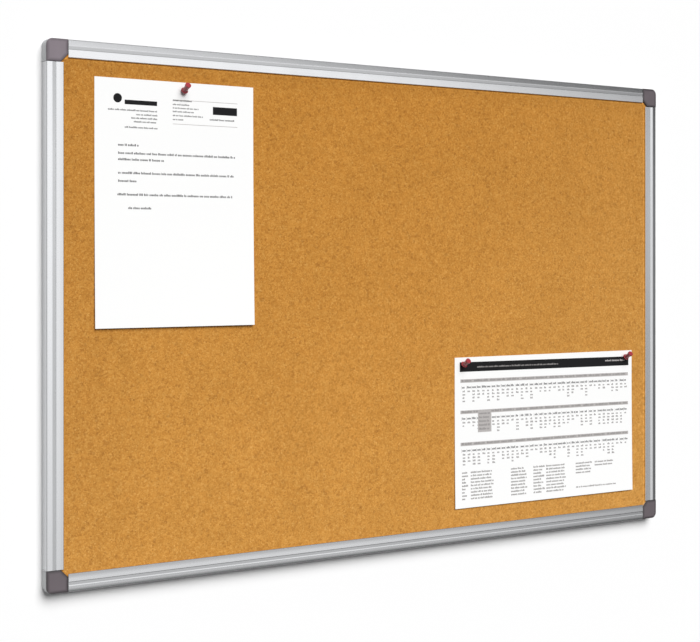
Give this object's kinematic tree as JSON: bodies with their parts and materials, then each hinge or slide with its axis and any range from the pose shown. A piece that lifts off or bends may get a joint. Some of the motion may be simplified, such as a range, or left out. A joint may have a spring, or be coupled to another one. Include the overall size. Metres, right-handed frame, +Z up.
{
  "type": "cork notice board",
  "caption": "Wall-hung cork notice board: an aluminium frame with press-fit plastic corner caps, a cork face for pins, and paper notices held by red push pins.",
  "frame": {"origin": "middle of the board on the wall plane: the plane of the rails' rear flanges, half way along the board's width and height", "axes": "+X right along the long side as seen from the front, +Z up, the front faces -Y and the wall lies at y = 0"},
  "size_m": [0.9, 0.0263, 0.6],
  "materials": {
    "anodised_aluminium": "satin",
    "key_plastic": "matte",
    "cap_plastic": "satin",
    "cork": "matte",
    "softboard": "matte",
    "backing_board": "matte",
    "screw_steel": "satin",
    "notice_paper": "matte",
    "pin_plastic": "gloss",
    "pin_steel": "polished"
  },
  "bodies": {
    "board": {"top_rail": "anodised_aluminium", "right_rail": "anodised_aluminium", "bottom_rail": "anodised_aluminium", "left_rail": "anodised_aluminium", "corner_key_top_left": "key_plastic", "corner_key_top_right": "key_plastic", "corner_key_bottom_right": "key_plastic", "corner_key_bottom_left": "key_plastic", "cork_sheet": "cork", "softboard_core": "softboard", "backing_sheet": "backing_board", "top_rail_screw_1": "screw_steel", "top_rail_screw_2": "screw_steel", "right_rail_screw_1": "screw_steel", "right_rail_screw_2": "screw_steel", "bottom_rail_screw_1": "screw_steel", "bottom_rail_screw_2": "screw_steel", "left_rail_screw_1": "screw_steel", "left_rail_screw_2": "screw_steel"},
    "cap_top_left": {"corner_cap_top_left": "cap_plastic"},
    "cap_top_right": {"corner_cap_top_right": "cap_plastic"},
    "cap_bottom_right": {"corner_cap_bottom_right": "cap_plastic"},
    "cap_bottom_left": {"corner_cap_bottom_left": "cap_plastic"},
    "letter": {"letter_sheet": "notice_paper"},
    "letter_pin": {"letter_pin_head": "pin_plastic", "letter_pin_needle": "pin_steel"},
    "calendar": {"calendar_sheet": "notice_paper"},
    "calendar_left_pin": {"calendar_left_pin_head": "pin_plastic", "calendar_left_pin_needle": "pin_steel"},
    "calendar_right_pin": {"calendar_right_pin_head": "pin_plastic", "calendar_right_pin_needle": "pin_steel"}
  },
  "joints": [
    {"name": "cap_top_left_pull", "type": "slide", "parent": "board", "child": "cap_top_left", "axis": [0, -1, 0], "range_m": [0, 0.02]},
    {"name": "cap_top_right_pull", "type": "slide", "parent": "board", "child": "cap_top_right", "axis": [0, -1, 0], "range_m": [0, 0.02]},
    {"name": "cap_bottom_right_pull", "type": "slide", "parent": "board", "child": "cap_bottom_right", "axis": [0, -1, 0], "range_m": [0, 0.02]},
    {"name": "cap_bottom_left_pull", "type": "slide", "parent": "board", "child": "cap_bottom_left", "axis": [0, -1, 0], "range_m": [0, 0.02]},
    {"name": "letter_take_down", "type": "slide", "parent": "board", "child": "letter", "axis": [0, -0.866, 0.5], "range_m": [0, 0.03]},
    {"name": "letter_pin_pull", "type": "slide", "parent": "letter", "child": "letter_pin", "axis": [0, -0.866, 0.5], "range_m": [0, 0.015]},
    {"name": "calendar_take_down", "type": "slide", "parent": "board", "child": "calendar", "axis": [0, -0.866, 0.5], "range_m": [0, 0.03]},
    {"name": "calendar_left_pin_pull", "type": "slide", "parent": "calendar", "child": "calendar_left_pin", "axis": [0, -0.866, 0.5], "range_m": [0, 0.015]},
    {"name": "calendar_right_pin_pull", "type": "slide", "parent": "calendar", "child": "calendar_right_pin", "axis": [0, -0.866, 0.5], "range_m": [0, 0.015]}
  ]
}
